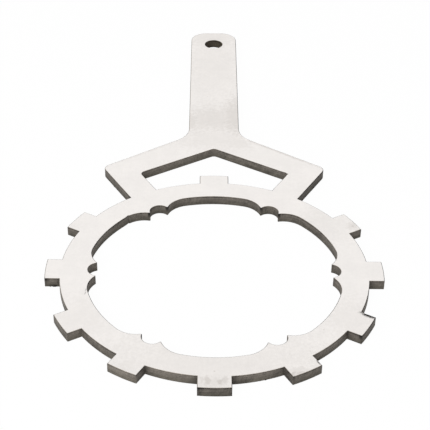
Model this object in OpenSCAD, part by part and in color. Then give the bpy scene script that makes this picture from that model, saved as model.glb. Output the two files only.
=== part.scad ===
// Clutch installation tool: one flat plate cut from steel sheet.
// A toothed ring drops onto a clutch between the basket and the hub, and a
// forked handle carried by two of the ring's positions turns or holds it.
// The origin is the ring's centre on the underside, with the handle along +Y.

/* [Sheet] */
// Thickness of the steel sheet, 3/16 inch stock
sheet_t = 4.76; // [3:0.01:8]

/* [Ring and tabs] */
// Diameter of the ring between its tabs
ring_d = 140; // [120:0.5:170]
// Width of the ring between its rim and its opening
ring_w = 11.8; // [9:0.05:16]
// Positions round the ring, of which the two beside the handle carry the fork
tab_positions = 12; // [11:1:13]
// Width of each tab and of each arm of the fork
tab_w = 14.3; // [9:0.1:17]
// Height of each tab above the ring's rim
tab_h = 6.65; // [4:0.05:10]

/* [Pads in the opening] */
// Pads round the opening, each with one notch
pad_count = 6; // [5:1:7]
// Height of each pad's two tips above the round of the opening, before rounding
pad_h = 4.9; // [3:0.1:6]
// Radius of the hollow flank that sweeps from the opening up to each tip
flank_r = 11.5; // [8:0.5:16]
// Diameter of the notch in each pad, which fits over a post of the hub
notch_d = 9.2; // [7.5:0.1:11]
// Distance of the notch's centre inside the circle through the tips
notch_inset = 0.65; // [0:0.05:2.5]
// Radius that the cut left on each tip
tip_round = 0.4; // [0.1:0.05:0.9]

/* [Fork and window] */
// Height of the fork's outer shoulders above the rim, along an arm
shoulder_h = 31; // [26:0.5:38]
// Radius of the outer shoulders
shoulder_r = 3.7; // [1:0.1:8]
// Height of the window's outer corners above the rim, along an arm
window_corner_h = 16.85; // [13:0.05:20]
// Radius in the window's outer corners
window_corner_r = 2.4; // [0.5:0.1:4]
// Height of the window's peak above the rim
window_peak_h = 31.8; // [26:0.1:37]
// Radius in the window's peak
window_peak_r = 2.5; // [0.5:0.1:8]

/* [Handle] */
// Height above the rim where the fork's roof meets the handle
neck_h = 44.4; // [40:0.1:52]
// Radius of the hollow between the roof and the handle
neck_r = 13.7; // [4:0.1:20]
// Width of the handle
handle_w = 26.5; // [22:0.1:34]
// Length of the handle from the neck to its end
handle_len = 117.2; // [60:0.5:180]
// Radius of the two corners at the handle's end
end_corner_r = 8.9; // [2:0.1:10]
// Diameter of the hole that the tool hangs by
hang_hole_d = 10; // [6:0.1:14]
// Distance from the handle's end to the centre of that hole
hang_hole_inset = 14.3; // [11:0.1:25]

/* [Hidden] */
$fn = 128;
steel = [0.85, 0.82, 0.8];
rim_r = ring_d / 2;
opening_r = rim_r - ring_w;
mid_ring_r = rim_r - ring_w / 2;
tip_r = opening_r - pad_h;
tab_pitch = 360 / tab_positions;
pad_pitch = 360 / pad_count;
handle_bearing = 90;
neck_y = rim_r + neck_h;
handle_end_y = neck_y + handle_len;
// Overlap of each arc with the sides that it touches, so that no sliver is left
seam = 0.0005;

// Unit vector along v
function unit(v) = v / norm(v);

// Angle between the two sides that meet at corner p
function corner_angle(a, p, b) = acos(unit(a - p) * unit(b - p));

// Distance from corner p to where an arc of radius r touches its sides
function setback(a, p, b, r) = r / tan(corner_angle(a, p, b) / 2);

// Centre of the arc of radius r that touches both sides of corner p
function arc_centre(a, p, b, r) =
    p + unit(unit(a - p) + unit(b - p)) * r / sin(corner_angle(a, p, b) / 2);

// Corner p cut back to its two touching points, or left sharp for r = 0
function cut_corner(a, p, b, r) =
    r == 0 ? [p] : [for (side = [a, b]) p + unit(side - p) * setback(a, p, b, r)];

// Point at a distance along a spoke of the ring, and beside it to its right
function on_spoke(bearing, along, beside) =
    [along * cos(bearing) + beside * sin(bearing),
     along * sin(bearing) - beside * cos(bearing)];

// Mirror image of a list of points across the handle's axis, in reverse order
function mirrored(points) =
    [for (i = [len(points) - 1 : -1 : 0]) [-points[i].x, points[i].y]];

// Point to the right of the way from a to b where circles about them meet
function circles_meet(a, a_r, b, b_r) =
    let (
        apart = norm(b - a),
        ahead = (b - a) / apart,
        along = (a_r ^ 2 - b_r ^ 2 + apart ^ 2) / (2 * apart),
        beside = sqrt(a_r ^ 2 - along ^ 2)
    )
    a + along * ahead + beside * [ahead.y, -ahead.x];

// The same list from last to first
function reversed(list) = [for (i = [len(list) - 1 : -1 : 0]) list[i]];

// Counter-clockwise outline whose corners are true arcs, round or hollow
module rounded_outline(points, radii) {
    count = len(points);
    corners = [for (i = [0 : count - 1])
        [points[(i + count - 1) % count], points[i], points[(i + 1) % count], radii[i]]];
    module arcs(turning) {
        for (c = corners)
            if (c[3] > 0 && sign(cross(c[1] - c[0], c[2] - c[1])) == turning)
                translate(arc_centre(c[0], c[1], c[2], c[3])) circle(r = c[3] + seam);
    }
    difference() {
        union() {
            polygon([for (c = corners) each cut_corner(c[0], c[1], c[2], c[3])]);
            arcs(1);
        }
        arcs(-1);
    }
}

// Every tab but the two whose places the fork's arms take
module tabs() {
    intersection() {
        circle(r = rim_r + tab_h);
        for (i = [0 : tab_positions - 1])
            if (i != 1 && i != tab_positions - 1)
                rotate(i * tab_pitch)
                    translate([-tab_w / 2, mid_ring_r])
                        square([tab_w, rim_r]);
    }
}

// Fork and handle as one outline: two arms on the spokes beside the handle,
// a roof that leans in from each shoulder, and the straight handle
module fork_and_handle() {
    arm_bearing = handle_bearing - tab_pitch;
    right_side = [
        on_spoke(arm_bearing, mid_ring_r, tab_w / 2),
        on_spoke(arm_bearing, rim_r + shoulder_h, tab_w / 2),
        [handle_w / 2, neck_y],
        [handle_w / 2, handle_end_y]
    ];
    right_radii = [0, shoulder_r, neck_r, end_corner_r];
    rounded_outline(
        concat(right_side, mirrored(right_side)),
        concat(right_radii, reversed(right_radii))
    );
}

// The window that the two arms and the roof enclose with the ring
module window() {
    arm_bearing = handle_bearing - tab_pitch;
    right_side = [
        on_spoke(arm_bearing, mid_ring_r, -tab_w / 2),
        on_spoke(arm_bearing, rim_r + window_corner_h, -tab_w / 2)
    ];
    right_radii = [0, window_corner_r];
    rounded_outline(
        concat(right_side, [[0, rim_r + window_peak_h]], mirrored(right_side)),
        concat(right_radii, [window_peak_r], reversed(right_radii))
    );
}

// The ring's opening: round between the pads, and at each pad two hollow
// flanks and a notch. Each flank is an arc that leaves the round stretch along
// its tangent and meets the notch in a small round tip
module opening() {
    notch_at = tip_r - notch_inset;
    flank_at = opening_r - flank_r;
    tip_along = (tip_r ^ 2 + notch_at ^ 2 - (notch_d / 2) ^ 2) / (2 * notch_at);
    tip_swing = acos(tip_along / tip_r);
    flank_swing = acos((tip_r ^ 2 + flank_at ^ 2 - flank_r ^ 2) / (2 * tip_r * flank_at));
    pad_half = tip_swing + flank_swing;
    round_half = pad_pitch / 2 - pad_half;
    notch = [notch_at, 0];
    flank = flank_at * [cos(pad_half), sin(pad_half)];
    sharp_tip = tip_r * [cos(tip_swing), sin(tip_swing)];
    circle(r = notch_at);
    for (i = [0 : pad_count - 1])
        rotate(handle_bearing + i * pad_pitch) {
            sector(opening_r, round_half);
            rotate(pad_pitch / 2) {
                translate(notch) circle(d = notch_d);
                for (side = [0, 1])
                    mirror([0, side]) {
                        translate(flank) circle(r = flank_r + seam);
                        beyond_tip(notch, notch_d / 2, flank, flank_r, sharp_tip);
                    }
            }
        }
}

// What lies between a sharp tip, where circles about a and b meet, and the
// round tip that touches both circles. It ends a little past the sharp tip, so
// that no sliver is left there
module beyond_tip(a, a_r, b, b_r, sharp_tip) {
    centre = circles_meet(a, a_r + tip_round, b, b_r + tip_round);
    past = sharp_tip + unit(sharp_tip - centre) * tip_round;
    difference() {
        polygon([past, a + unit(centre - a) * a_r, b + unit(centre - b) * b_r]);
        translate(centre) circle(r = tip_round + seam);
    }
}

// Sector of a disc, to half_angle on each side of its axis. Its straight
// sides run past the disc, so that the disc's own arc ends it
module sector(r, half_angle) {
    far = 2 * r;
    intersection() {
        circle(r = r);
        polygon([
            [0, 0],
            far * [cos(half_angle), -sin(half_angle)],
            far * [cos(half_angle), sin(half_angle)]
        ]);
    }
}

// Round hole near the handle's end
module hang_hole() {
    translate([0, handle_end_y - hang_hole_inset]) circle(d = hang_hole_d);
}

// The whole tool: one outline, one thickness
module tool_plate() {
    color(steel)
        linear_extrude(sheet_t)
            difference() {
                union() {
                    circle(d = ring_d);
                    tabs();
                    difference() {
                        fork_and_handle();
                        window();
                    }
                }
                opening();
                hang_hole();
            }
}

tool_plate();
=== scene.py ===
import math

import bmesh
import bpy
from bpy.props import FloatProperty, FloatVectorProperty, IntProperty, PointerProperty
from mathutils import Matrix, Vector, noise


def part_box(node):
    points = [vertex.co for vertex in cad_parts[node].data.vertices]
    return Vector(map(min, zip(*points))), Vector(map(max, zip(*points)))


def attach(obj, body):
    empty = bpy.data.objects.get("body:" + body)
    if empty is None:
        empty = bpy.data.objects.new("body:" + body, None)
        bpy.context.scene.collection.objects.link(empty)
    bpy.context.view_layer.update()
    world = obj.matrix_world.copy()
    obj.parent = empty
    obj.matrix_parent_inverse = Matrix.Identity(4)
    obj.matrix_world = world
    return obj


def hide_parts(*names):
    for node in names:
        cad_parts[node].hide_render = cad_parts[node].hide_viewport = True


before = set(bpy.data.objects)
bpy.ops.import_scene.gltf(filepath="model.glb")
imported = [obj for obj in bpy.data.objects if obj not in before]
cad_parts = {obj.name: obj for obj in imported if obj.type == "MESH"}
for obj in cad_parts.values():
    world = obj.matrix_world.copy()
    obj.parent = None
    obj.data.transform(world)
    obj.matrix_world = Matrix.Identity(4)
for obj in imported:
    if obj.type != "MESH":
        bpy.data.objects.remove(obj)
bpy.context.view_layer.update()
PLATE_LOW, PLATE_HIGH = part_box("tool_plate")

bl_info = {
    "name": "Clutch installation tool",
    "version": (1, 0, 0),
    "blender": (4, 5, 0),
    "location": "3D View > Sidebar > Clutch tool",
    "description": "Models a cut steel clutch installation tool, its finish and its stage",
    "category": "Add Mesh",
}

MM = 0.001
MM_PER_M = 1000
UP = Vector((0, 0, 1))
HANDLE_BEARING = math.radians(90)

# Width of the photograph and distance of its lens, both in pixels
PHOTO_W, PHOTO_LENS = 430, 1222.89

# Mark where a cut began: how far it shows before the start and after it
MARK_BEFORE, MARK_AFTER = 1.2 * MM, 0.3 * MM
# Reach of the start within which the ripple is the same both ways, so that it closes
SEAM = 1 * MM
# Bend of the outline, in degrees, at which heat tint begins and is full
TINT_BEGINS, TINT_FULL = 20, 60
# Share of the heat tint that shows away from the fork
TINT_ELSEWHERE = 0.25
# How far the streaks trail at the bottom of the cut, in millimetres
DRAG = 1.2
# Waves on the cut: length, height over which they change, and seed
FINE_WAVE, SLOW_WAVE = (0.8 * MM, 6 * MM, 3.7), (4.5 * MM, 9 * MM, 11.2)
# Share of the fine waves that reaches the top of the cut
FINE_AT_TOP = 0.35
# Distance within which two points are one, and the bend of a sharp edge
TOUCH, SHARP = 0.01 * MM, math.radians(20)
# Least upward part of the normal of a flat face
FLAT_NORMAL = 0.999


# Properties

def length(name, description, default, low=0.0):
    """Length that a user may change, given in millimetres."""
    return FloatProperty(
        name=name, description=description, default=default * MM, min=low * MM, max=1.0,
        precision=5, subtype="DISTANCE", unit="LENGTH",
    )


def share(name, description, default, high=1.0):
    """Strength or share that a user may change."""
    return FloatProperty(name=name, description=description, default=default, min=0.0, max=high)


def paint(name, description, default):
    """Colour that a user may change."""
    return FloatVectorProperty(
        name=name, description=description, default=default, size=3, min=0.0, max=1.0,
        subtype="COLOR",
    )


def degrees(name, description, default):
    """Angle that a user may change."""
    return FloatProperty(
        name=name, description=description, default=math.radians(default),
        subtype="ANGLE", unit="ROTATION",
    )


class PlateSizes(bpy.types.PropertyGroup):
    """Sizes of the plate, as the CAD model has them, and of its cut."""

    sheet_t: length("Sheet", "Thickness of the steel sheet", (PLATE_HIGH.z - PLATE_LOW.z) / MM)
    ring_d: length("Ring", "Diameter of the ring between its tabs", 140)
    ring_w: length("Ring width", "Width between the rim and the opening", 11.8)
    tab_positions: IntProperty(
        name="Tab positions", description="Positions round the ring", default=12,
        min=11, max=13,
    )
    tab_w: length("Tab width", "Width of each tab and of each arm", 14.3)
    tab_h: length("Tab height", "Height of each tab above the rim", 6.65)
    pad_count: IntProperty(
        name="Pads", description="Notched pads round the opening", default=6, min=5, max=7,
    )
    pad_h: length("Pad height", "Height of the pads' tips above the opening", 4.9)
    flank_r: length("Flank radius", "Radius of the pads' hollow flanks", 11.5)
    notch_d: length("Notch", "Diameter of the notch in each pad", 9.2)
    notch_inset: length("Notch inset", "Depth of the notch's centre inside the tips", 0.65)
    tip_round: length("Tip radius", "Radius that the cut left on each tip", 0.4)
    shoulder_h: length("Shoulder height", "Outer shoulders above the rim", 31)
    shoulder_r: length("Shoulder radius", "Radius of the outer shoulders", 3.7)
    window_corner_h: length("Window corners", "Window's corners above the rim", 16.85)
    window_corner_r: length("Window corner radius", "Radius in those corners", 2.4)
    window_peak_h: length("Window peak", "Window's peak above the rim", 31.8)
    window_peak_r: length("Window peak radius", "Radius in the peak", 2.5)
    neck_h: length("Neck height", "Roof's meeting with the handle, above the rim", 44.4)
    neck_r: length("Neck radius", "Radius of that hollow", 13.7)
    handle_w: length("Handle width", "Width of the handle", 26.5)
    handle_len: length("Handle length", "From the neck to the handle's end", 117.2)
    end_corner_r: length("End corners", "Radius of the corners at the end", 8.9)
    hang_hole_d: length("Hanging hole", "Diameter of the hole", 10)
    hang_hole_inset: length("Hole inset", "From the handle's end to the hole", 14.3)
    edge_r: length("Edge radius", "Radius that deburring left on every edge", 0.3)
    column: length("Column", "Width of one column of faces on the cut", 0.5, 0.1)
    ripple: length("Ripple", "Depth of the waves that the cut left", 0.02)
    heat_reach: length("Heat reach", "How far a sharp corner's heat tint goes", 1.3)
    start_mark: length("Start mark", "Depth of the mark where each cut began", 0.35)


class SteelFinish(bpy.types.PropertyGroup):
    """Colours and strengths of the steel's surfaces."""

    face: paint("Sheet face", "Pickled and rolled face of the sheet", (0.918, 0.887, 0.861))
    # Colour of the handling stains, also used for painted shade on the faces
    stain: paint("Stain", "Handling stains on the faces", (0.45, 0.41, 0.37))
    cut: paint("Cut edge", "Middle of the cut edge", (0.146, 0.13, 0.112))
    # Darker colour towards the bottom of the cut, as painted shade
    cut_low: paint("Cut edge, low", "Slower bottom of the cut", (0.098, 0.088, 0.072))
    # Darker, browner colour of the hanging hole's wall
    scorch: paint("Scorch", "Heat tint in the hanging hole", (0.084, 0.071, 0.053))
    bead: paint("Dross", "Beads of dross under the cut", (0.012, 0.009, 0.006))
    mottle: share("Mottle", "Cloudy variation of the faces", 0.031)
    grain: share("Grain", "Rolling grain of the faces", 0.03)
    streak: share("Streaks", "Variation of the cut edge along the outline", 1.1, 2.0)
    # Strength of the painted highlight on the rounded top edges that face the front
    rubbed: share("Rubbed edge", "How much brighter deburring left the top edges", 1.5, 4.0)
    tint: paint("Corner tint", "Heat tint at the cut's sharp corners", (0.012, 0.01, 0.008))


class StageLook(bpy.types.PropertyGroup):
    """Floor, light and camera."""

    floor: paint("Floor", "Colour of the floor", (0.9, 0.9, 0.9))
    shadow: share("Shadow", "Share of the object's shadow that the floor shows", 0.02)
    contact: share("Contact", "Share of that shadow that the steel mirrors", 0.6)
    sky: share("Sky", "Light from all round", 0.5, 3.0)
    lean: share("Sky's lean", "How much brighter the sky is at the left", 0.07)
    key: share("Key light", "Power of the soft light at the left, in watts", 14.5, 100.0)
    fill: share("Fill light", "Power of the soft light at the right, in watts", 0.8, 100.0)
    aim_x: length("Aim, X", "Point the camera looks at, across the handle", -9.283, -1000)
    aim_y: length("Aim, Y", "Point the camera looks at, along the handle", 49.145, -1000)
    shift: FloatProperty(
        name="Shift", description="How far the photograph's middle lies off the lens's axis",
        default=20 / PHOTO_W,
    )
    distance: length("Distance", "From the camera to the point it looks at", 596.633)
    elevation: degrees("Elevation", "Camera's angle above the horizon", 35.7185)
    swing: degrees("Swing", "Camera's turn to the left of the handle's axis", -0.5667)
    tilt: degrees("Tilt", "Camera's turn about its own axis", 0.1177)
    field: degrees(
        "Field of view", "Width of the picture, as an angle",
        2 * math.degrees(math.atan(PHOTO_W / 2 / PHOTO_LENS)),
    )


# Outline

def flat(x, y):
    """Point of the outline."""
    return Vector((x, y))


def polar(radius, bearing):
    """Point of the outline at a radius and a bearing from the ring's centre."""
    return flat(radius * math.cos(bearing), radius * math.sin(bearing))


def on_spoke(bearing, along, beside):
    """Point at a distance along a spoke of the ring, and beside it to its right."""
    return polar(along, bearing) + polar(beside, bearing - math.pi / 2)


def verts_in(geometry):
    """Vertices among vertices and edges."""
    return [g for g in geometry if isinstance(g, bmesh.types.BMVert)]


def start(mesh, point):
    """First vertex of a stroke."""
    return bmesh.ops.create_vert(mesh, co=point.to_3d())["vert"][0]


def line_to(mesh, vert, point):
    """Straight stroke, still in one piece."""
    end = bmesh.ops.extrude_vert_indiv(mesh, verts=[vert])["verts"][0]
    end.co = point.to_3d()
    return end


def divide_straights(mesh, column):
    """Divides the straight strokes into columns of about the given width."""
    by_cuts = {}
    for edge in mesh.edges:
        by_cuts.setdefault(round(edge.calc_length() / column) - 1, []).append(edge)
    for cuts, edges in by_cuts.items():
        if cuts > 0:
            bmesh.ops.subdivide_edges(mesh, edges=edges, cuts=cuts)


def arc_about(mesh, vert, centre, turn, column):
    """Stroke round a centre, to the left for a positive turn."""
    radius = (vert.co.xy - centre).length
    last = bmesh.ops.spin(
        mesh, geom=[vert], cent=centre.to_3d(), axis=UP, angle=turn,
        steps=max(2, round(abs(turn) * radius / column)),
    )["geom_last"]
    return verts_in(last)[0]


def round_corner(mesh, vert, corner, after, radius, column, part=1.0):
    """Straight stroke to a corner's arc, and then a part of that arc."""
    into = (corner - vert.co.xy).normalized()
    out = (after - corner).normalized()
    turn = math.atan2(into.cross(out), into.dot(out))
    vert = line_to(mesh, vert, corner - into * radius * math.tan(abs(turn) / 2))
    left = flat(-into.y, into.x)
    centre = vert.co.xy + left * math.copysign(radius, turn)
    return arc_about(mesh, vert, centre, turn * part, column)


def drawn_since(mesh, known):
    """Vertices and edges that were drawn after the known ones."""
    return [g for g in (*mesh.verts, *mesh.edges) if g not in known]


def mirror(mesh, known, axis):
    """Adds the mirror image of what was drawn after the known geometry, and returns
    both."""
    bmesh.ops.mirror(
        mesh, geom=drawn_since(mesh, known), matrix=Matrix.Identity(4),
        merge_dist=0.001 * MM, axis=axis,
    )
    return drawn_since(mesh, known)


def turn_copies(mesh, strokes, first, pitch, count):
    """Strokes turned to a first bearing, and copies of them at a pitch."""
    bmesh.ops.rotate(mesh, verts=verts_in(strokes), matrix=Matrix.Rotation(first, 3, "Z"))
    bmesh.ops.spin(
        mesh, geom=strokes, axis=UP, angle=pitch * (count - 1), steps=count - 1,
        use_duplicate=True,
    )


def spokes(s):
    """Rim's radius, half the width of a tab or an arm, the angle from one position to
    the next, and half the angle that a tab takes up on the rim."""
    rim, half_w = s.ring_d / 2, s.tab_w / 2
    return rim, half_w, 2 * math.pi / s.tab_positions, math.asin(half_w / rim)


def hang_hole_y(s):
    """Distance from the ring's centre to the hanging hole's."""
    return s.ring_d / 2 + s.neck_h + s.handle_len - s.hang_hole_inset


def draw_tabs(mesh, s):
    """Rim from one arm of the fork round to the other, with a tab at each position."""
    known = {*mesh.verts, *mesh.edges}
    rim, half_w, pitch, foot_angle = spokes(s)
    top = rim + s.tab_h
    pen = start(mesh, flat(top, 0))
    pen = arc_about(mesh, pen, flat(0, 0), math.asin(half_w / top), s.column)
    pen = line_to(mesh, pen, polar(rim, foot_angle))
    arc_about(mesh, pen, flat(0, 0), pitch / 2 - foot_angle, s.column)
    tab = mirror(mesh, known, "Y")
    turn_copies(mesh, tab, HANDLE_BEARING + 2 * pitch, pitch, s.tab_positions - 3)


def draw_fork_and_handle(mesh, s):
    """Outer side of the fork and of the handle."""
    known = {*mesh.verts, *mesh.edges}
    rim, half_w, pitch, foot_angle = spokes(s)
    arm = HANDLE_BEARING - pitch
    neck = flat(s.handle_w / 2, rim + s.neck_h)
    end = neck + flat(0, s.handle_len)
    shoulder = on_spoke(arm, rim + s.shoulder_h, half_w)
    pen = start(mesh, polar(rim, arm - pitch / 2))
    pen = arc_about(mesh, pen, flat(0, 0), pitch / 2 - foot_angle, s.column)
    pen = round_corner(mesh, pen, shoulder, neck, s.shoulder_r, s.column)
    pen = round_corner(mesh, pen, neck, end, s.neck_r, s.column)
    pen = round_corner(mesh, pen, end, flat(0, end.y), s.end_corner_r, s.column)
    line_to(mesh, pen, flat(0, end.y))
    mirror(mesh, known, "X")


def draw_window(mesh, s):
    """Window between the arms, the roof and the rim, with the tab that stands in it."""
    known = {*mesh.verts, *mesh.edges}
    rim, half_w, pitch, foot_angle = spokes(s)
    top, arm = rim + s.tab_h, HANDLE_BEARING - pitch
    corner = on_spoke(arm, rim + s.window_corner_h, -half_w)
    peak = flat(0, rim + s.window_peak_h)
    pen = start(mesh, flat(0, top))
    pen = arc_about(mesh, pen, flat(0, 0), -math.asin(half_w / top), s.column)
    pen = line_to(mesh, pen, polar(rim, HANDLE_BEARING - foot_angle))
    pen = arc_about(mesh, pen, flat(0, 0), 2 * foot_angle - pitch, s.column)
    pen = round_corner(mesh, pen, corner, peak, s.window_corner_r, s.column)
    far_corner = flat(-corner.x, corner.y)
    round_corner(mesh, pen, peak, far_corner, s.window_peak_r, s.column, part=0.5)
    mirror(mesh, known, "X")


def circles_meet(a, a_r, b, b_r):
    """Point to the right of the way from a to b where circles about them meet."""
    apart = b - a
    along = (a_r ** 2 - b_r ** 2 + apart.length_squared) / (2 * apart.length)
    beside = math.sqrt(a_r ** 2 - along ** 2)
    ahead = apart.normalized()
    return a + ahead * along + flat(ahead.y, -ahead.x) * beside


def turn_between(start_at, end_at, centre):
    """Angle from one point to another about a centre, to the left."""
    a, b = start_at - centre, end_at - centre
    return math.atan2(a.cross(b), a.dot(b))


def draw_opening(mesh, s):
    """Opening of the ring, with its notched pads."""
    known = {*mesh.verts, *mesh.edges}
    round_r = s.ring_d / 2 - s.ring_w
    tip_r = round_r - s.pad_h
    notch_at, notch_r = tip_r - s.notch_inset, s.notch_d / 2
    flank_at = round_r - s.flank_r
    tip_along = (tip_r ** 2 + notch_at ** 2 - notch_r ** 2) / (2 * notch_at)
    tip_swing = math.acos(tip_along / tip_r)
    flank_swing = math.acos(
        (tip_r ** 2 + flank_at ** 2 - s.flank_r ** 2) / (2 * tip_r * flank_at)
    )
    pad_half = tip_swing + flank_swing
    notch, flank = flat(notch_at, 0), polar(flank_at, pad_half)
    tip = circles_meet(notch, notch_r + s.tip_round, flank, s.flank_r + s.tip_round)
    off_notch = notch + (tip - notch).normalized() * notch_r
    onto_flank = flank + (tip - flank).normalized() * s.flank_r
    pitch = 2 * math.pi / s.pad_count
    pen = start(mesh, flat(notch_at + notch_r, 0))
    pen = arc_about(mesh, pen, notch, turn_between(pen.co.xy, off_notch, notch), s.column)
    pen = arc_about(mesh, pen, tip, turn_between(off_notch, onto_flank, tip), s.column / 4)
    leave = polar(round_r, pad_half)
    pen = arc_about(mesh, pen, flank, turn_between(onto_flank, leave, flank), s.column)
    arc_about(mesh, pen, flat(0, 0), pitch / 2 - pad_half, s.column)
    pad = mirror(mesh, known, "Y")
    turn_copies(mesh, pad, HANDLE_BEARING + pitch / 2, pitch, s.pad_count)


def draw_hang_hole(mesh, s):
    """Round hole near the handle's end."""
    bmesh.ops.create_circle(
        mesh, cap_ends=False, radius=s.hang_hole_d / 2,
        segments=round(math.pi * s.hang_hole_d / s.column),
        matrix=Matrix.Translation((0, hang_hole_y(s), 0)),
    )


# Plate

def loops_of(mesh, starts):
    """Closed loops of the outline, each in order from the vertex nearest to its start,
    with the steel on its left."""
    left, loops = set(mesh.verts), []
    while left:
        first = min(left, key=lambda v: min((v.co.xy - p).length for p, _depth in starts))
        loop, edge = [first], first.link_edges[0]
        while edge.other_vert(loop[-1]) is not first:
            loop.append(edge.other_vert(loop[-1]))
            edge = next(e for e in loop[-1].link_edges if e is not edge)
        left -= set(loop)
        loops.append(loop)
    areas = [
        sum(a.co.xy.cross(b.co.xy) for a, b in zip(loop, loop[1:] + loop[:1])) / 2
        for loop in loops
    ]
    outer = max(range(len(loops)), key=lambda i: abs(areas[i]))
    for i, loop in enumerate(loops):
        if (areas[i] > 0) != (i == outer):
            loop[1:] = reversed(loop[1:])
    return loops


def add_layers(mesh):
    """Layers for what each vertex of the wall knows: its point of the outline, the way
    to the steel inside, its distance along the cut, the whole cut's length, its
    distance up the wall, the depth of the start's mark and the heat of a corner."""
    vectors, numbers = mesh.verts.layers.float_vector, mesh.verts.layers.float
    layers = {name: vectors.new(name) for name in ("place", "inward")}
    for name in ("along", "lap", "way", "mark", "corner_heat"):
        layers[name] = numbers.new(name)
    return {**layers, "uv": mesh.loops.layers.uv.new("UVMap")}


def bend_at(loop, i, reach):
    """Angle by which the outline turns within a reach on either side of a vertex."""
    ways = []
    for step in (-1, 1):
        far = i + step
        while (loop[far % len(loop)].co - loop[i].co).length < reach:
            far += step
        ways.append((loop[far % len(loop)].co.xy - loop[i].co.xy) * step)
    return ways[0].angle(ways[1])


def mark_outline(loops, starts, layers, s):
    """Writes the layers of the outline's vertices."""
    for loop in loops:
        count, walked = len(loop), 0.0
        total = sum((a.co - b.co).length for a, b in zip(loop, loop[1:] + loop[:1]))
        depth = s.start_mark * min(starts, key=lambda p: (loop[0].co.xy - p[0]).length)[1]
        for i, vert in enumerate(loop):
            before = (vert.co.xy - loop[i - 1].co.xy).normalized()
            after = (loop[(i + 1) % count].co.xy - vert.co.xy).normalized()
            into = flat(-before.y - after.y, before.x + after.x) / (1 + before.dot(after))
            vert[layers["place"]] = vert.co
            vert[layers["inward"]] = into.to_3d()
            vert[layers["along"]] = walked
            vert[layers["mark"]] = depth * max(
                math.exp((walked - total) / MARK_BEFORE),
                math.exp(-((walked / MARK_AFTER) ** 2)),
            )
            vert[layers["lap"]] = total
            bend = math.degrees(bend_at(loop, i, s.heat_reach))
            held = min(max((bend - TINT_BEGINS) / (TINT_FULL - TINT_BEGINS), 0.0), 1.0)
            in_opening = vert.co.length < (s.ring_d - s.ring_w) / 2
            beside_fork = in_opening and vert.co.y > s.ring_d / 4
            vert[layers["corner_heat"]] = held * (1.0 if beside_fork else TINT_ELSEWHERE)
            walked += (loop[(i + 1) % count].co - vert.co).length


def wall_profile(s, arc_steps=4, rows=7):
    """Steps up the cut: how far each lies inside the outline, its height, and its
    distance up the surface."""
    profile, quarter = [], math.pi / 2
    for i in range(arc_steps + 1):
        angle = quarter * i / arc_steps
        profile.append((
            s.edge_r * (1 - math.sin(angle)), s.edge_r * (1 - math.cos(angle)),
            s.edge_r * angle,
        ))
    straight = s.sheet_t - 2 * s.edge_r
    for i in range(1, rows):
        up = straight * i / rows
        profile.append((0.0, s.edge_r + up, s.edge_r * quarter + up))
    total = straight + 2 * s.edge_r * quarter
    lower = profile[:arc_steps + 1]
    upper = [(inset, s.sheet_t - up, total - way) for inset, up, way in reversed(lower)]
    return profile + upper


def wave(along, height, kind):
    """Smooth noise along and up the cut, between -1 and 1."""
    pitch, rise, seed = kind
    return noise.noise(Vector((along / pitch, height / rise, seed)))


def cut_ripple(s, along, height):
    """How far the cut's surface lies inside the outline: shallow drag waves that grow
    towards the bottom."""
    low = 1 - height / s.sheet_t
    along += DRAG * MM * low * low
    fine = wave(along, height, FINE_WAVE) * (FINE_AT_TOP + (1 - FINE_AT_TOP) * low)
    return s.ripple * (1 - 0.5 * fine - 0.5 * wave(along, height, SLOW_WAVE))


def raise_walls(mesh, s, layers):
    """Extrudes the outline up the wall's profile, row by row."""
    place, inward, along, lap, way, mark = (
        layers[name] for name in ("place", "inward", "along", "lap", "way", "mark")
    )
    profile = wall_profile(s)
    row_verts, row_edges = list(mesh.verts), list(mesh.edges)
    bottom = row_edges
    for step, (inset, height, distance) in enumerate(profile):
        if step:
            made = bmesh.ops.extrude_edge_only(mesh, edges=row_edges)["geom"]
            row_verts = verts_in(made)
            fresh = set(row_verts)
            row_edges = [
                g for g in made if isinstance(g, bmesh.types.BMEdge) and fresh >= set(g.verts)
            ]
        share_of_wall = 1 - inset / s.edge_r
        for vert in row_verts:
            near = min(vert[along], vert[lap] - vert[along])
            dip = cut_ripple(s, near if near < SEAM else vert[along], height)
            off = inset + dip * share_of_wall + vert[mark]
            vert.co = vert[place] + vert[inward] * off + UP * height
            vert[way] = distance
    return bottom, row_edges


def close_faces(mesh, bottom, top):
    """Fills the two flat faces of the sheet."""
    for rim, direction in ((bottom, -UP), (top, UP)):
        bmesh.ops.triangle_fill(mesh, use_beauty=True, edges=rim, normal=direction)


def on_sheet(face):
    """Whether a face belongs to one of the sheet's two flat faces."""
    return abs(face.normal.z) > FLAT_NORMAL


def lay_out(mesh, layers):
    """UV map in metres: along and up the cut on the walls, and X and Y on the faces."""
    along, lap, way, uv = (layers[name] for name in ("along", "lap", "way", "uv"))
    for face in mesh.faces:
        if on_sheet(face):
            for corner in face.loops:
                corner[uv].uv = corner.vert.co.xy
            continue
        laps = max(v[along] for v in face.verts) - min(v[along] for v in face.verts)
        for corner in face.loops:
            vert = corner.vert
            over = vert[lap] if laps > vert[lap] / 2 and vert[along] < vert[lap] / 2 else 0.0
            corner[uv].uv = (vert[along] + over, vert[way])


def finish_mesh(mesh, name):
    """Mesh from a closed shape, with its normals outwards."""
    bmesh.ops.recalc_face_normals(mesh, faces=mesh.faces)
    if any(len(e.link_faces) != 2 for e in mesh.edges):
        raise RuntimeError(f"{name} isn't closed")
    made = bpy.data.meshes.new(name)
    mesh.to_mesh(made)
    mesh.free()
    return made


def add_object(name, data):
    """New object in the scene."""
    made = bpy.data.objects.new(name, data)
    bpy.context.scene.collection.objects.link(made)
    return made


def add_piece(name, mesh, materials):
    """Object at the origin that rides with the tool."""
    piece = add_object(name, mesh)
    for material in materials:
        mesh.materials.append(material)
    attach(piece, "root")
    return piece


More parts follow.
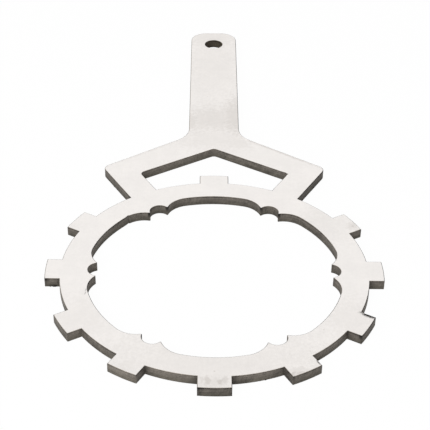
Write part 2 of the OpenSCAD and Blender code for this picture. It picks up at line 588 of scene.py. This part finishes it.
def build_plate(s):
    """Mesh of the whole plate: faces in material slot 0 and cut edges in slot 1."""
    mesh = bmesh.new()
    layers = add_layers(mesh)
    draw_tabs(mesh, s)
    draw_fork_and_handle(mesh, s)
    draw_window(mesh, s)
    draw_opening(mesh, s)
    draw_hang_hole(mesh, s)
    bmesh.ops.remove_doubles(mesh, verts=mesh.verts, dist=TOUCH)
    divide_straights(mesh, s.column)
    rim, half_w, pitch, _foot_angle = spokes(s)
    # Where each cut began, and how deep its mark is next to the start mark's size
    starts = [
        (on_spoke(math.pi, rim + s.tab_h / 3, half_w), 0.3),
        (polar(rim - s.ring_w, math.radians(135)), 1.4),
        (on_spoke(HANDLE_BEARING - pitch, rim + s.window_corner_h, -half_w), 2.4),
        (flat(0, hang_hole_y(s) - s.hang_hole_d / 2), 0.3),
    ]
    mark_outline(loops_of(mesh, starts), starts, layers, s)
    bottom, top = raise_walls(mesh, s, layers)
    close_faces(mesh, bottom, top)
    mesh.normal_update()
    lay_out(mesh, layers)
    for face in mesh.faces:
        face.smooth = not on_sheet(face)
        face.material_index = 1 if face.smooth else 0
    for edge in mesh.edges:
        upright = abs(edge.verts[0].co.z - edge.verts[1].co.z) > TOUCH
        if upright and edge.calc_face_angle(0.0) > SHARP:
            edge.smooth = False
    return finish_mesh(mesh, "cut_plate")


# Materials

class Tree:
    """Short way to add nodes to a material or a shader group."""

    def __init__(self, tree):
        self.tree = tree
        self.column = 0

    def node(self, kind, inputs=(), **settings):
        """New node with its settings made, its inputs set or joined."""
        made = self.tree.nodes.new(kind)
        made.location = (self.column, 0)
        self.column += 180
        for name, value in settings.items():
            setattr(made, name, value)
        self.fill(made, inputs)
        return made

    def fill(self, node, inputs):
        """Sets a node's inputs, given by name or in their order, or joins them to
        sockets."""
        for name, value in inputs.items() if isinstance(inputs, dict) else enumerate(inputs):
            if isinstance(value, bpy.types.NodeSocket):
                self.tree.links.new(value, node.inputs[name])
            else:
                node.inputs[name].default_value = value

    def use(self, group, vector, **inputs):
        """Outputs of a shader group placed in this tree."""
        inputs["Vector"] = vector
        return self.node("ShaderNodeGroup", inputs, node_tree=group).outputs

    def maths(self, operation, *values, clamp=False):
        """Result of a Math node."""
        made = self.node("ShaderNodeMath", values, operation=operation, use_clamp=clamp)
        return made.outputs[0]

    def total(self, value, *parts, clamp=False):
        """Value with masks added, each by its weight."""
        for mask, weight in parts:
            value = self.maths("MULTIPLY_ADD", mask, weight, value, clamp=clamp)
        return value

    def vary(self, value, mask, amount, middle=0.5):
        """Value raised or lowered as a mask lies above or below its middle."""
        return self.total(value, (self.maths("SUBTRACT", mask, middle), amount))

    def vectors(self, operation, a, b=(0, 0, 0), result="Vector"):
        """Result of a Vector Math node."""
        made = self.node("ShaderNodeVectorMath", (a, b), operation=operation)
        return made.outputs[result]

    def spread(self, value, low, high, to_low=0.0, to_high=1.0):
        """Value moved smoothly from one range to another, and held inside it. A range
        that runs down turns the result round."""
        inputs = (value, low, high, to_low, to_high)
        made = self.node("ShaderNodeMapRange", inputs, interpolation_type="SMOOTHSTEP")
        return made.outputs["Result"]

    def noise(self, vector, scale, detail=3.0, roughness=0.5):
        """Noise between 0 and 1."""
        inputs = {"Vector": vector, "Scale": scale, "Detail": detail, "Roughness": roughness}
        return self.node("ShaderNodeTexNoise", inputs).outputs["Fac"]

    def stretched_noise(self, vector, stretch, detail):
        """Noise of scale 1 over a stretched vector."""
        return self.noise(self.vectors("MULTIPLY", vector, stretch), 1.0, detail)

    def mix(self, fac, a, b):
        """Colour between two colours."""
        a, b = (c if isinstance(c, bpy.types.NodeSocket) else (*c, 1) for c in (a, b))
        # Inputs 6 and 7 and output 2 of a Mix node are its colours
        return self.node("ShaderNodeMix", {0: fac, 6: a, 7: b}, data_type="RGBA").outputs[2]

    def blend(self, fac, a, b):
        """Value between two values."""
        # Inputs 2 and 3 and output 0 of a Mix node are its plain values
        return self.node("ShaderNodeMix", {0: fac, 2: a, 3: b}, data_type="FLOAT").outputs[0]

    def shade(self, colour, value):
        """Colour made lighter or darker by a factor."""
        made = self.node("ShaderNodeVectorMath", {0: colour, "Scale": value}, operation="SCALE")
        return made.outputs["Vector"]

    def bump(self, height, depth):
        """Normal of a relief of the given depth."""
        inputs = {"Height": height, "Distance": depth, "Strength": 1.0}
        return self.node("ShaderNodeBump", inputs).outputs["Normal"]


def shader_group(build, **values):
    """Shader node group with a vector input and inputs with the given values. build
    gets its tree and its inputs by name, and returns its outputs by name."""
    group = bpy.data.node_groups.new(build.__name__, "ShaderNodeTree")
    sockets = group.interface
    sockets.new_socket("Vector", in_out="INPUT", socket_type="NodeSocketVector")
    for label, value in values.items():
        kind = "NodeSocketVector" if isinstance(value, tuple) else "NodeSocketFloat"
        sockets.new_socket(label, in_out="INPUT", socket_type=kind).default_value = value
    tree = Tree(group)
    results = build(tree, tree.node("NodeGroupInput").outputs)
    for label in results:
        sockets.new_socket(label, in_out="OUTPUT", socket_type="NodeSocketFloat")
    tree.node("NodeGroupOutput", results)
    return group


# Range that most of a noise texture's values lie in
NOISE_RANGE = 0.3, 0.7
# Reach at which a patch ends and at which it is full, and how ragged that reach is
SMUDGE_EDGE, RAGGED = (1.15, 0.25), 1.6
# Pitch of the cut's coarse streaks next to the fine ones', and their share at the top
# of the cut and what the bottom adds to it
COARSE_PITCH, COARSE_AT_TOP, COARSE_BELOW = 3.7, 0.2, 0.45


def rolled_grain(tree, entry):
    """Fine lines that the rolls left along the sheet, with broader bands."""
    fine = tree.stretched_noise(entry["Vector"], entry["Lines"], detail=2.0)
    broad = tree.stretched_noise(entry["Vector"], entry["Bands"], detail=2.0)
    return {"Grain": tree.total(0.0, (fine, 0.6), (broad, 0.4))}


def cloudy_mottle(tree, entry):
    """Clouds and small flecks of a pickled surface."""
    clouds = tree.noise(entry["Vector"], entry["Clouds"], detail=4.0, roughness=0.6)
    flecks = tree.noise(entry["Vector"], entry["Flecks"], detail=2.0)
    both = tree.total(0.0, (clouds, 0.7), (flecks, 0.3))
    return {"Mottle": tree.spread(both, *NOISE_RANGE)}


def smudge(tree, entry):
    """Soft patch with a ragged edge."""
    away = tree.vectors("SUBTRACT", entry["Vector"], entry["Centre"])
    turned = tree.node(
        "ShaderNodeVectorRotate", {"Vector": away, "Angle": entry["Turn"]},
        rotation_type="Z_AXIS", invert=True,
    ).outputs["Vector"]
    scaled = tree.vectors("DIVIDE", turned, entry["Radii"])
    reach = tree.vectors("LENGTH", scaled, result="Value")
    ragged = tree.noise(entry["Vector"], entry["Grain"], roughness=0.6)
    return {"Mask": tree.spread(tree.vary(reach, ragged, RAGGED), *SMUDGE_EDGE)}


def pits(tree, entry):
    """Scattered specks and shallow pits."""
    cells = tree.node(
        "ShaderNodeTexVoronoi", {"Vector": entry["Vector"], "Scale": entry["Density"]},
    ).outputs
    pick = tree.node("ShaderNodeSeparateColor", {"Color": cells["Color"]}).outputs
    chosen = tree.maths("LESS_THAN", tree.maths("SUBTRACT", 1.0, pick["Red"]), entry["Share"])
    size = tree.maths("MULTIPLY", pick["Green"], entry["Size"])
    inside = tree.maths("SUBTRACT", size, cells["Distance"])
    spot = tree.spread(inside, low=0.0, high=0.04)
    return {"Mask": tree.maths("MULTIPLY", spot, chosen)}


def scratches(tree, entry):
    """Sparse hairlines in one direction."""
    drawn = tree.noise(entry["Vector"], scale=1.0, detail=1.0)
    shown = tree.stretched_noise(entry["Vector"], (0.12, 0.6, 1), detail=1.0)
    away = tree.maths("ABSOLUTE", tree.maths("SUBTRACT", drawn, 0.5))
    line = tree.spread(away, low=0.012, high=0.0)
    shown = tree.spread(shown, low=0.6, high=0.66)
    return {"Mask": tree.maths("MULTIPLY", line, shown)}


def cut_streaks(tree, entry):
    """Streaks up a cut edge that bend back towards its bottom. Vector is the distance
    along and up the cut, in millimetres."""
    split = tree.node("ShaderNodeSeparateXYZ", {"Vector": entry["Vector"]}).outputs
    low = tree.maths("DIVIDE", split["Y"], entry["Height"])
    low = tree.maths("SUBTRACT", 1.0, low, clamp=True)
    drag = tree.maths("MULTIPLY", tree.maths("MULTIPLY", low, low), DRAG)
    along = tree.maths("ADD", split["X"], drag)

    def streaks(pitch, rise, detail, roughness):
        """Streaks at a pitch, with their rate of change up the cut."""
        way = tree.node("ShaderNodeCombineXYZ", {
            "X": tree.maths("DIVIDE", along, pitch),
            "Y": tree.maths("MULTIPLY", split["Y"], rise),
        }).outputs[0]
        return tree.noise(way, 1.0, detail, roughness)

    fine = streaks(entry["Pitch"], rise=0.35, detail=3.0, roughness=0.65)
    pitch = tree.maths("MULTIPLY", entry["Pitch"], COARSE_PITCH)
    coarse = streaks(pitch, rise=0.25, detail=2.0, roughness=0.5)
    both = tree.blend(tree.total(COARSE_AT_TOP, (low, COARSE_BELOW)), fine, coarse)
    bands = tree.stretched_noise(entry["Vector"], (0.09, 1.5, 1.0), detail=2.0)
    return {"Streak": tree.vary(both, bands, entry["Bands"]), "Low": low}


def build_groups():
    """Shader groups of the steel's effects, by name."""
    return {
        "grain": shader_group(rolled_grain, Lines=(4, 0.08, 1), Bands=(0.7, 0.02, 1)),
        "mottle": shader_group(cloudy_mottle, Clouds=0.1, Flecks=0.7),
        "smudge": shader_group(
            smudge, Centre=(0, 0, 0), Radii=(1, 1, 1), Turn=0.0, Grain=0.5,
        ),
        "pits": shader_group(pits, Density=0.3, Size=0.16, Share=0.05),
        "scratches": shader_group(scratches),
        "streaks": shader_group(cut_streaks, Height=4.9, Pitch=0.9, Bands=0.5),
    }


def empty_tree(owner):
    """Node tree of a material or a world, with nothing in it."""
    owner.use_nodes = True
    owner.node_tree.nodes.clear()
    return Tree(owner.node_tree)


def new_material(name):
    """Material with only a Principled shader, its tree and that shader."""
    material = bpy.data.materials.new(name)
    tree = empty_tree(material)
    shader = tree.node("ShaderNodeBsdfPrincipled")
    tree.node("ShaderNodeOutputMaterial", {"Surface": shader.outputs["BSDF"]})
    return material, tree, shader


def millimetres(tree):
    """Object coordinates in millimetres."""
    place = tree.node("ShaderNodeTexCoord").outputs["Object"]
    return tree.vectors("MULTIPLY", place, (MM_PER_M,) * 3)


# Painted light on the rounded top edge of the cut: the side that gets painted shade,
# the band in which the painted highlight turns to shade, and the tone of the shade
AWAY, TURNS_AWAY, AWAY_TONE = (0.4, 0.9, 0.0), (-0.2, 0.05), -0.7
# Where on the cut, from 0 at its top, the rounded edge ends
ROUND_ENDS = 0.065, 0.03
# Where the dark line under it begins and ends, and its tone
LINE_BEGINS, LINE_ENDS, LINE_TONE = (0.035, 0.06), (0.15, 0.09), -0.6


def patches_at(height, depth, *rows):
    """Patches at a height that fade over a depth. Each row has X, Y, two radii, turn
    and strength, in millimetres and degrees."""
    return [
        ((x, y, height), (long, wide, depth), turn, strength)
        for x, y, long, wide, turn, strength in rows
    ]


# A strength below 0 makes the cut darker
# Patches on the faces, of real stains and of painted shade
STAINS = (
    # Large soft patches of painted shade where the face's tone falls off
    *patches_at(
        4.8, 60,
        (0, 131, 26, 18, 0, 0.19), (12, 134, 11, 26, 0, 0.25), (-13, 129, 7, 15, 0, 0.22),
        (0, 190, 24, 60, 0, 0.08), (0, 228, 20, 24, 0, 0.13), (12, 108, 9, 9, 0, 0.12),
        (0, 112, 26, 17, 0, 0.1), (54, 34, 15, 20, 0, 0.06), (60, -34, 18, 18, 0, 0.08),
        (-60, -34, 20, 18, 0, 0.06), (0, -66, 70, 34, 0, 0.1),
    ),
    *patches_at(
        4.8, 3,
        # Thin painted shade along the roof edges, stronger on the right
        (34.5, 98.5, 30, 1, -35, 0.27), (-34.5, 98.5, 30, 1, 35, 0.11),
        (-2.9, -72.6, 2, 4, 0, 0.36), (-5.2, -72, 1.2, 3.6, 0, 0.25),
        (2.2, -73, 1.9, 2.4, 0, 0.42), (4.1, -71.8, 2.4, 3.4, 0, 0.3),
        (0, -73, 9, 5, 0, 0.2), (66, 34.5, 4.2, 4.6, 0, 0.18),
        (65.8, 34.3, 0.8, 1.2, 0, 0.35), (32.2, -67.7, 1.4, 2.2, 0, 0.42),
        (35.2, -66.9, 2.4, 0.9, 30, 0.4), (34, -66, 6, 3.4, 30, 0.19),
        (-36, -63, 6, 4, 0, 0.12), (-37.6, -65.4, 5, 1.2, -30, 0.14),
    ),
    *patches_at(
        0, 3,
        (-2, 60, 26, 14, 0, 0.16), (5, 190, 12, 22, 0, 0.14), (-58, -22, 9, 16, 0, 0.2),
    ),
)
BURNS = patches_at(
    4.8, 2,
    (66.6, -30.9, 4.6, 1.35, -31, 1.0), (42.8, -61, 1.7, 0.4, -60, 0.8),
    (-57.0, -14.9, 1.2, 0.4, 80, 0.4), (-57.1, -17.2, 1.2, 0.4, 80, 0.4),
)
# Patches on the walls: painted light and painted shade, lighter where walls face the left and
# darker where they face the right or lie in recesses, and a few small dark marks
CUT_TONES = (
    *patches_at(
        2.4, 9,
        (-38.3, -66.4, 11, 3, -30, 0.42), (-18.1, -67.6, 10, 4, -15, 0.36),
        (18.1, -67.6, 10, 4, 15, 0.14), (0, -76.7, 11, 3, 0, -0.2),
        (66.4, -38.3, 11, 3, 60, -0.24), (30.3, -66.8, 4.5, 2, -60, -0.44),
        (-59.6, -42.7, 4.5, 2, 30, 0.45), (-30.3, -66.8, 4.5, 2, 60, -0.3),
        (48.4, 69.6, 22, 3, 60, -0.4), (-48.4, 69.6, 22, 3, -60, -0.1),
        (50.4, 29.1, 18, 5, -60, -0.14), (18.6, 90.3, 33, 4, -32, 0.08),
        (-18.6, 90.3, 33, 4, 32, 0.2),
    ),
    *patches_at(1.2, 2.4, (73, -7.2, 6, 2, 0, 0.3)),
    *patches_at(4.6, 1.6, (-45.9, 35.8, 8, 3, 52, -0.3)),
    *patches_at(4.4, 2.6, (62.5, -44.3, 2.2, 2.2, 0, -0.6)),
    *patches_at(
        4.4, 1.8,
        (-7.2, -76.3, 2, 2, 0, -0.45), (-75.8, -7.2, 1.8, 2, 0, -0.55),
        (-41.2, 57, 1.6, 1.6, 0, -0.8),
    ),
    *patches_at(0.5, 1.1, (-72, -7.2, 2, 2, 0, -0.6)),
)


def lay_patches(tree, groups, place, patches, operation, value, grain):
    """Value that each patch's mask has joined in turn, by a Math operation."""
    for centre, radii, turn, strength in patches:
        mask = tree.use(
            groups["smudge"], place, Centre=centre, Radii=radii, Turn=math.radians(turn),
            Grain=grain,
        )["Mask"]
        value = tree.maths(operation, value, tree.maths("MULTIPLY", mask, strength))
    return value


def sheet_face(finish, groups):
    """Pickled and rolled face of the sheet, with its grain, clouds, stains, painted
    shade and specks.
    """
    material, tree, shader = new_material("sheet_face")
    place = millimetres(tree)
    grain = tree.use(groups["grain"], place)["Grain"]
    mottle = tree.use(groups["mottle"], place)["Mottle"]
    specks = tree.use(groups["pits"], place)["Mask"]
    lines = tree.node("ShaderNodeMapping", {
        "Vector": place, "Rotation": (0, 0, math.radians(24)), "Scale": (0.02, 2.2, 1),
    }).outputs["Vector"]
    hairs = tree.use(groups["scratches"], lines)["Mask"]
    # Real stains together with painted shade
    stained = lay_patches(tree, groups, place, STAINS, "MAXIMUM", 0.0, grain=0.7)
    burnt = lay_patches(tree, groups, place, BURNS, "MAXIMUM", 0.0, grain=1.5)
    tone = tree.vary(1.0, grain, 2 * finish.grain)
    tone = tree.vary(tone, mottle, 2 * finish.mottle, middle=0.6)
    colour = tree.shade((*finish.face,), tone)
    for mask, mark in (
        (stained, finish.stain), (burnt, finish.tint),
        (tree.maths("MULTIPLY", specks, 0.15), finish.stain),
        (tree.maths("MULTIPLY", hairs, 0.12), finish.stain),
    ):
        colour = tree.mix(mask, colour, mark)
    rough = tree.total(
        0.36, (mottle, 0.08), (grain, 0.1), (stained, 0.35), (specks, 0.25), clamp=True,
    )
    relief = tree.total(0.0, (mottle, 0.4), (grain, 0.5), (specks, -3.0), (hairs, -0.7))
    tree.fill(shader, {
        "Base Color": colour, "Roughness": rough, "Metallic": 1.0,
        "Normal": tree.bump(relief, depth=0.004 * MM),
    })
    return material


def deburr(tree, finish, low, tone):
    """Tone of the cut with its rounded top edge: a painted highlight where the edge
    faces the front, painted shade where it faces away, and a dark line where it meets the wall."""
    facing = tree.node("ShaderNodeNewGeometry").outputs["Normal"]
    facing = tree.vectors("DOT_PRODUCT", facing, AWAY, "Value")
    # Painted highlight on the edge's near side, painted shade on its far side
    rubbed = tree.spread(facing, *TURNS_AWAY, finish.rubbed, AWAY_TONE)
    line = tree.maths("MULTIPLY", tree.spread(low, *LINE_BEGINS), tree.spread(low, *LINE_ENDS))
    return tree.total(tone, (rubbed, tree.spread(low, *ROUND_ENDS)), (line, LINE_TONE))


def cut_edge(finish, groups, sizes):
    """Edge that the torch or the laser left, with its streaks and its heat tint."""
    material, tree, shader = new_material("cut_edge")
    place = millimetres(tree)
    walk = tree.node("ShaderNodeUVMap", uv_map="UVMap").outputs["UV"]
    walk = tree.vectors("MULTIPLY", walk, (MM_PER_M, MM_PER_M, 1))
    full = (sizes.sheet_t - 2 * sizes.edge_r + math.pi * sizes.edge_r) / MM
    made = tree.use(groups["streaks"], walk, Height=full)
    streak, low = made["Streak"], made["Low"]
    clouds = tree.noise(place, scale=0.12)
    tone = tree.vary(1.0, streak, 2 * finish.streak)
    tone = tree.vary(tone, clouds, amount=0.35)
    # Painted light and painted shade on the walls, with a few dark marks
    tone = lay_patches(tree, groups, place, CUT_TONES, "ADD", tone, grain=0.5)
    tone = deburr(tree, finish, low, tone)
    # Painted shade: darker towards the bottom of the cut
    colour = tree.mix(tree.spread(low, 0.15, 1.0), finish.cut, finish.cut_low)
    colour = tree.shade(colour, tone)
    hole = (0, hang_hole_y(sizes) / MM, 0)
    near = tree.vectors("MULTIPLY", tree.vectors("SUBTRACT", place, hole), (1, 1, 0))
    near = tree.vectors("LENGTH", near, result="Value")
    # Darker, browner colour on the wall of the hanging hole
    scorched = tree.maths("LESS_THAN", near, sizes.hang_hole_d / MM * 0.6)
    colour = tree.mix(scorched, colour, tree.shade((*finish.scorch,), tone))
    heat = tree.node("ShaderNodeAttribute", attribute_name="corner_heat").outputs["Fac"]
    heat = tree.maths("MULTIPLY", heat, tree.spread(low, 0.85, 0.1))
    heat = tree.maths("MULTIPLY", heat, tree.spread(clouds, 0.35, 0.6, 0.6, 1.0))
    rough = tree.total(0.5, (streak, 0.18), (low, 0.12), clamp=True)
    tree.fill(shader, {
        "Base Color": tree.mix(heat, colour, finish.tint), "Roughness": rough,
        "Metallic": 0.55, "Specular IOR Level": 0.35,
        "Normal": tree.bump(streak, depth=0.06 * MM),
    })
    return material


def dross_skin(finish):
    """Glassy oxide skin of a bead of dross."""
    material, tree, shader = new_material("dross_skin")
    skin = tree.noise(millimetres(tree), scale=2.4, detail=4.0, roughness=0.6)
    tree.fill(shader, {
        "Base Color": tree.shade((*finish.bead,), tree.spread(skin, *NOISE_RANGE, 0.6, 1.9)),
        "Roughness": tree.spread(skin, *NOISE_RANGE, 0.35, 0.7), "Metallic": 0.4,
        "Normal": tree.bump(skin, depth=0.05 * MM),
    })
    return material


# Beads of dross: place on the outline, outward bearing in degrees, length, width, height
BEADS = (
    (-72.05, -7.15, 270, 3.2, 0.8, 1.0),
    (-73.9, -7.15, 270, 0.8, 0.36, 0.40),
    (21.0, -66.75, 288, 0.9, 0.36, 0.42),
    (-50.19, 72.63, 210, 0.8, 0.34, 0.38),
    (49.9, -30.1, 149, 0.7, 0.32, 0.36),
)
# How much a bead is dimpled, at what pitch, and how high it stands, in millimetres
DIMPLES, DIMPLE_PITCH, BEAD_LIFT = 0.14, 0.45, 0.02


def build_beads():
    """Mesh of the beads, each a flattened and dimpled drop half sunk in the cut."""
    mesh = bmesh.new()
    for x, y, bearing, long, wide, high in BEADS:
        turn = Matrix.Rotation(math.radians(bearing), 4, "Z")
        stand = Matrix.Translation((x * MM, y * MM, (high / 2 + BEAD_LIFT) * MM))
        shape = Matrix.Diagonal((wide * MM / 2, long * MM / 2, high * MM / 2, 1))
        made = bmesh.ops.create_icosphere(
            mesh, subdivisions=4, radius=1.0, matrix=stand @ turn @ shape,
        )["verts"]
        for vert in made:
            away = vert.co - stand.translation
            dent = noise.noise(vert.co / (DIMPLE_PITCH * MM))
            vert.co = stand.translation + away * (1 + DIMPLES * dent - DIMPLES / 2)
    for face in mesh.faces:
        face.smooth = True
    return finish_mesh(mesh, "dross_beads")


# Stage

# Places of the lamps, the point that they face, and the length of their sides
KEY_AT, FILL_AT = Vector((-0.65, -0.75, 0.8)), Vector((0.8, -0.3, 0.8))
LIT_POINT, LAMP_SIZE = Vector((0, 0.05, 0)), 0.8
FLOOR_RADIUS, FLOOR_GAP = 4.0, 0.05 * MM
SENSOR_WIDTH = 36


def floor_material(stage):
    """White floor that keeps a faint shadow, and that isn't there from below."""
    material = bpy.data.materials.new("white_floor")
    tree = empty_tree(material)
    # An Emission node is white and of strength 1 as it comes
    lit = tree.node("ShaderNodeBsdfDiffuse", {"Color": (*stage.floor, 1)}).outputs[0]
    glow = tree.node("ShaderNodeEmission").outputs[0]
    path = tree.node("ShaderNodeLightPath").outputs
    shown = tree.maths("MAXIMUM", path["Is Camera Ray"], path["Is Transmission Ray"])
    shown = tree.maths("MULTIPLY", shown, 1 - stage.shadow)
    shown = tree.maths("MULTIPLY_ADD", path["Is Glossy Ray"], 1 - stage.contact, shown)
    top = tree.node("ShaderNodeMixShader", (shown, lit, glow)).outputs[0]
    clear = tree.node("ShaderNodeBsdfTransparent").outputs[0]
    below = tree.node("ShaderNodeNewGeometry").outputs["Backfacing"]
    both = tree.node("ShaderNodeMixShader", (below, top, clear)).outputs[0]
    tree.node("ShaderNodeOutputMaterial", {"Surface": both})
    return material


def build_floor(stage):
    """Round floor just under the plate."""
    mesh = bmesh.new()
    bmesh.ops.create_circle(
        mesh, cap_ends=True, radius=FLOOR_RADIUS, segments=96,
        matrix=Matrix.Translation((0, 0, PLATE_LOW.z - FLOOR_GAP)),
    )
    made = bpy.data.meshes.new("floor")
    mesh.to_mesh(made)
    mesh.free()
    made.materials.append(floor_material(stage))
    floor = add_object("floor", made)


def add_lamp(name, place, power):
    """Square soft light that faces the tool and isn't mirrored in it."""
    data = bpy.data.lights.new(name, "AREA")
    data.shape, data.size, data.energy = "SQUARE", LAMP_SIZE, power
    lamp = add_object(name, data)
    lamp.location = place
    lamp.visible_glossy = False
    lamp.rotation_euler = (LIT_POINT - place).to_track_quat("-Z", "Y").to_euler()


def add_world(stage):
    """White sky to the eye, and a dimmer one that lights."""
    world = bpy.data.worlds.new("sky")
    tree = empty_tree(world)
    way = tree.node("ShaderNodeTexCoord").outputs["Generated"]
    side = tree.node("ShaderNodeSeparateXYZ", {"Vector": way}).outputs["X"]
    lean = tree.maths("MULTIPLY_ADD", side, -stage.lean, 1.0)
    path = tree.node("ShaderNodeLightPath").outputs
    dim = tree.maths("MULTIPLY_ADD", path["Is Glossy Ray"], 1 - stage.sky, stage.sky)
    dim = tree.maths("MULTIPLY", dim, lean)
    seen = tree.maths("MAXIMUM", path["Is Camera Ray"], path["Is Transmission Ray"])
    strength = tree.blend(seen, dim, 1.0)
    sky = tree.node("ShaderNodeBackground", {"Color": (1, 1, 1, 1), "Strength": strength})
    tree.node("ShaderNodeOutputWorld", {"Surface": sky.outputs[0]})
    bpy.context.scene.world = world


def add_camera(stage):
    """Camera at the photograph's place."""
    data = bpy.data.cameras.new("camera")
    data.sensor_width = SENSOR_WIDTH
    data.lens = SENSOR_WIDTH / 2 / math.tan(stage.field / 2)
    data.clip_start, data.clip_end = 0.01, 100
    data.shift_x = stage.shift
    camera = add_object("camera", data)
    back = Vector((0, -math.cos(stage.elevation), math.sin(stage.elevation)))
    back.rotate(Matrix.Rotation(-stage.swing, 3, "Z"))
    stand = Vector((stage.aim_x, stage.aim_y, 0)) + back * stage.distance
    facing = (-back).to_track_quat("-Z", "Y").to_matrix().to_4x4()
    tilt = Matrix.Rotation(stage.tilt, 4, "Z")
    camera.matrix_world = Matrix.Translation(stand) @ facing @ tilt
    bpy.context.scene.camera = camera


# Operators

class CLUTCHTOOL_OT_cut_plate(bpy.types.Operator):
    """Models the plate with its worked edges and gives it its steel."""

    bl_idname = "clutch_tool.cut_plate"
    bl_label = "Cut plate"

    def execute(self, context):
        scene = context.scene
        sizes, finish = scene.clutch_tool_sizes, scene.clutch_tool_finish
        groups = build_groups()
        materials = [sheet_face(finish, groups), cut_edge(finish, groups, sizes)]
        plate = add_piece("cut_plate", build_plate(sizes), materials)
        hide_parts("tool_plate")
        return {"FINISHED"}


class CLUTCHTOOL_OT_dross_beads(bpy.types.Operator):
    """Adds the small beads of dross that stuck to the lower edge of the cut."""

    bl_idname = "clutch_tool.dross_beads"
    bl_label = "Dross beads"

    def execute(self, context):
        add_piece("dross_beads", build_beads(), [dross_skin(context.scene.clutch_tool_finish)])
        return {"FINISHED"}


class CLUTCHTOOL_OT_stage(bpy.types.Operator):
    """Sets up the floor, the light and the camera."""

    bl_idname = "clutch_tool.stage"
    bl_label = "Stage"

    def execute(self, context):
        stage = context.scene.clutch_tool_stage
        build_floor(stage)
        add_lamp("key", KEY_AT, stage.key)
        add_lamp("fill", FILL_AT, stage.fill)
        add_world(stage)
        add_camera(stage)
        context.scene.view_settings.view_transform = "Standard"
        return {"FINISHED"}


class CLUTCHTOOL_PT_panel(bpy.types.Panel):
    """Sizes, finish and stage of the tool, with the steps that make them."""

    bl_idname = "CLUTCHTOOL_PT_panel"
    bl_label = "Clutch tool"
    bl_space_type = "VIEW_3D"
    bl_region_type = "UI"
    bl_category = "Clutch tool"

    def draw(self, context):
        scene = context.scene
        for owner, step in (
            (scene.clutch_tool_sizes, "clutch_tool.cut_plate"),
            (scene.clutch_tool_finish, "clutch_tool.dross_beads"),
            (scene.clutch_tool_stage, "clutch_tool.stage"),
        ):
            box = self.layout.box()
            for name in owner.__annotations__:
                box.prop(owner, name)
            box.operator(step)


CLASSES = (
    PlateSizes, SteelFinish, StageLook, CLUTCHTOOL_OT_cut_plate,
    CLUTCHTOOL_OT_dross_beads, CLUTCHTOOL_OT_stage, CLUTCHTOOL_PT_panel,
)
GROUPS = (
    ("clutch_tool_sizes", PlateSizes),
    ("clutch_tool_finish", SteelFinish),
    ("clutch_tool_stage", StageLook),
)


def register():
    """Adds the classes and the scene's settings."""
    for cls in CLASSES:
        bpy.utils.register_class(cls)
    for name, group in GROUPS:
        setattr(bpy.types.Scene, name, PointerProperty(type=group))


def unregister():
    """Takes them out again."""
    for name, _group in GROUPS:
        delattr(bpy.types.Scene, name)
    for cls in reversed(CLASSES):
        bpy.utils.unregister_class(cls)


def main():
    """Makes the tool and its stage."""
    register()
    bpy.ops.clutch_tool.stage()
    bpy.ops.clutch_tool.cut_plate()
    bpy.ops.clutch_tool.dross_beads()


if __name__ == "__main__":
    main()
